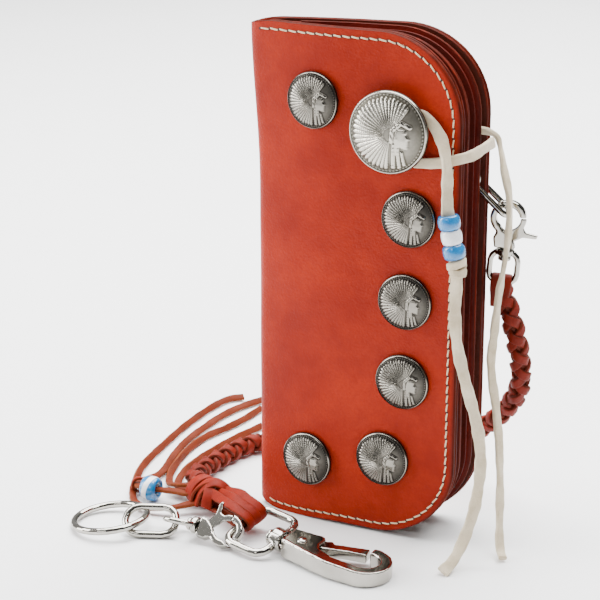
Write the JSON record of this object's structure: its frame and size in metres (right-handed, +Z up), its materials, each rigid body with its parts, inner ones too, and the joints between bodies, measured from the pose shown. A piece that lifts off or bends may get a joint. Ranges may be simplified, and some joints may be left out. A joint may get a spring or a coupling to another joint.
{
  "type": "chain_wallet",
  "caption": "Long leather chain wallet with coin conchos, white lace tie, glass beads and a braided leather lanyard with snap, clasps and key ring",
  "frame": {"origin": "Under the middle of the wallet, on the surface that it stands on", "axes": "+X from the spine to the opening edge, -Y out of the front cover, +Z up the wallet's length"},
  "size_m": [0.1696, 0.1614, 0.195],
  "materials": {
    "leather_outer": "waxed vegetable-tanned leather, soft sheen",
    "leather_inner": "smooth vegetable-tanned leather, burnished edges",
    "leather_lining": "matt leather lining",
    "antique_nickel": "darkened nickel, bright on the high spots",
    "silver": "bright silver, dark in the hollows",
    "brass": "satin brass",
    "zip_tape": "woven tape",
    "polished_nickel": "polished nickel",
    "white_lace": "soft undyed deerskin lace, matt",
    "cord_leather": "brown leather lace, tan flesh side",
    "blue_glass": "glossy opaque glass",
    "white_glass": "glossy opaque glass"
  },
  "bodies": {
    "root": {"back_cover": "leather_outer", "back_lining": "leather_lining", "rear_pocket_panel": "leather_inner", "coin_pocket_panel": "leather_inner", "zip_tape": "zip_tape", "zip_teeth": "brass", "spine_fold": "leather_outer", "centre_fold": "leather_inner", "eyelet": "polished_nickel", "clasp_eye": "polished_nickel", "closing_strand": "white_lace", "closing_tail": "white_lace", "braided_rope": "cord_leather", "lanyard_knot": "cord_leather", "lace_loop": "cord_leather", "fringe_lace_1": "cord_leather", "fringe_lace_2": "cord_leather", "fringe_lace_3": "cord_leather", "fringe_lace_4": "cord_leather"},
    "front_cover": {"front_cover": "leather_outer", "front_lining": "leather_lining", "front_pocket_panel": "leather_inner", "card_base_panel": "leather_lining", "card_slot_1": "leather_inner", "card_slot_2": "leather_inner", "card_slot_3": "leather_inner", "card_slot_4": "leather_inner", "small_concho_1": "antique_nickel", "small_concho_2": "antique_nickel", "small_concho_3": "antique_nickel", "small_concho_4": "antique_nickel", "small_concho_5": "antique_nickel", "small_concho_6": "antique_nickel", "concho_screw_1": "brass", "concho_screw_2": "brass", "concho_screw_3": "brass", "concho_screw_4": "brass", "concho_screw_5": "brass", "concho_screw_6": "brass", "concho_screw_7": "brass", "large_concho": "silver", "bead_lace": "white_lace"},
    "lace_beads": {"lace_bead_1": "blue_glass", "lace_bead_2": "white_glass", "lace_bead_3": "blue_glass"},
    "zip_slider": {"zip_slider": "brass"},
    "zip_pull": {"zip_pull": "brass"},
    "wallet_ring": {"wallet_ring": "polished_nickel"},
    "clasp_hook": {"clasp_hook": "polished_nickel"},
    "clasp_lever": {"clasp_lever": "polished_nickel"},
    "fringe_bead": {"fringe_bead": "blue_glass"},
    "snap_ring": {"snap_ring": "polished_nickel"},
    "snap_hook": {"snap_hook": "polished_nickel"},
    "snap_gate": {"snap_gate": "polished_nickel"},
    "end_clasp_hook": {"end_clasp_hook": "polished_nickel"},
    "end_clasp_lever": {"end_clasp_lever": "polished_nickel"},
    "end_clasp_eye": {"end_clasp_eye": "polished_nickel"},
    "oblong_link": {"oblong_link": "polished_nickel"},
    "key_ring": {"key_ring": "polished_nickel"}
  },
  "joints": [
    {"name": "cover_hinge", "type": "hinge", "parent": "root", "child": "front_cover", "pos_m": [-0.042, 0.0035, 0.0975], "axis": [0, 0, -1], "range_deg": [0, 12], "deforming": ["spine_fold", "centre_fold", "closing_strand"]},
    {"name": "bead_slide", "type": "slide", "parent": "front_cover", "child": "lace_beads", "axis": [-0.1961, 0, 0.9806], "range_m": [0, 0.004]},
    {"name": "zip_travel", "type": "slide", "parent": "root", "child": "zip_slider", "axis": [0, 0, 1], "range_m": [-0.138, 0]},
    {"name": "zip_pull_swing", "type": "hinge", "parent": "zip_slider", "child": "zip_pull", "pos_m": [0.028, 0.0039, 0.1645], "axis": [0, 1, 0], "range_deg": [-50, 50]},
    {"name": "ring_swing", "type": "hinge", "parent": "root", "child": "wallet_ring", "pos_m": [0.0368, 0.01599, 0.1386], "axis": [-0.0755, 0.9971, 0], "range_deg": [-3, 5]},
    {"name": "clasp_swivel", "type": "hinge", "parent": "root", "child": "clasp_hook", "pos_m": [0.0503, 0.01747, 0.11083], "axis": [0.0691, 0.0097, 0.9976], "range_deg": [-8, 8]},
    {"name": "clasp_lever_press", "type": "hinge", "parent": "clasp_hook", "child": "clasp_lever", "pos_m": [0.04791, 0.01714, 0.11501], "axis": [-0.1392, 0.9903, 0], "range_deg": [0, 20], "stiffness_Nm_per_rad": 0.02, "springref_deg": -5.73},
    {"name": "fringe_bead_slide", "type": "slide", "parent": "root", "child": "fringe_bead", "axis": [0.9988, -0.0499, 0], "range_m": [0, 0.004]},
    {"name": "snap_ring_lift", "type": "hinge", "parent": "root", "child": "snap_ring", "pos_m": [-0.03526, -0.03345, 0.00637], "axis": [-0.3279, -0.9133, -0.2416], "range_deg": [0, 4]},
    {"name": "snap_swivel", "type": "hinge", "parent": "snap_ring", "child": "snap_hook", "pos_m": [-0.01405, -0.04008, 0.00528], "axis": [0.9872, -0.1564, -0.0314], "continuous": true},
    {"name": "snap_gate_press", "type": "hinge", "parent": "snap_hook", "child": "snap_gate", "pos_m": [-0.00541, -0.03922, 0.00502], "axis": [-0.031, 0.0049, -0.9995], "range_deg": [0, 16], "stiffness_Nm_per_rad": 0.03, "springref_deg": -5.73},
    {"name": "end_clasp_lift", "type": "hinge", "parent": "root", "child": "end_clasp_hook", "pos_m": [-0.03756, -0.03985, 0.00468], "axis": [0.3279, 0.9133, 0.2416], "range_deg": [0, 4]},
    {"name": "end_clasp_lever_press", "type": "hinge", "parent": "end_clasp_hook", "child": "end_clasp_lever", "pos_m": [-0.04808, -0.04262, 0.00406], "axis": [-0.0448, -0.6412, 0.766], "range_deg": [0, 16], "stiffness_Nm_per_rad": 0.02, "springref_deg": -5.73},
    {"name": "end_clasp_swivel", "type": "hinge", "parent": "end_clasp_hook", "child": "end_clasp_eye", "pos_m": [-0.05193, -0.04028, 0.0058], "axis": [0.9976, -0.0698, 0], "range_deg": [-8, 8]},
    {"name": "link_swing", "type": "hinge", "parent": "end_clasp_eye", "child": "oblong_link", "pos_m": [-0.0643, -0.03942, 0.0058], "axis": [0, 0, 1], "range_deg": [-1.5, 1.5]},
    {"name": "key_ring_lift", "type": "hinge", "parent": "oblong_link", "child": "key_ring", "pos_m": [-0.07402, -0.04291, 0.0052], "axis": [0.0777, 0.997, 0], "range_deg": [0, 40]}
  ]
}
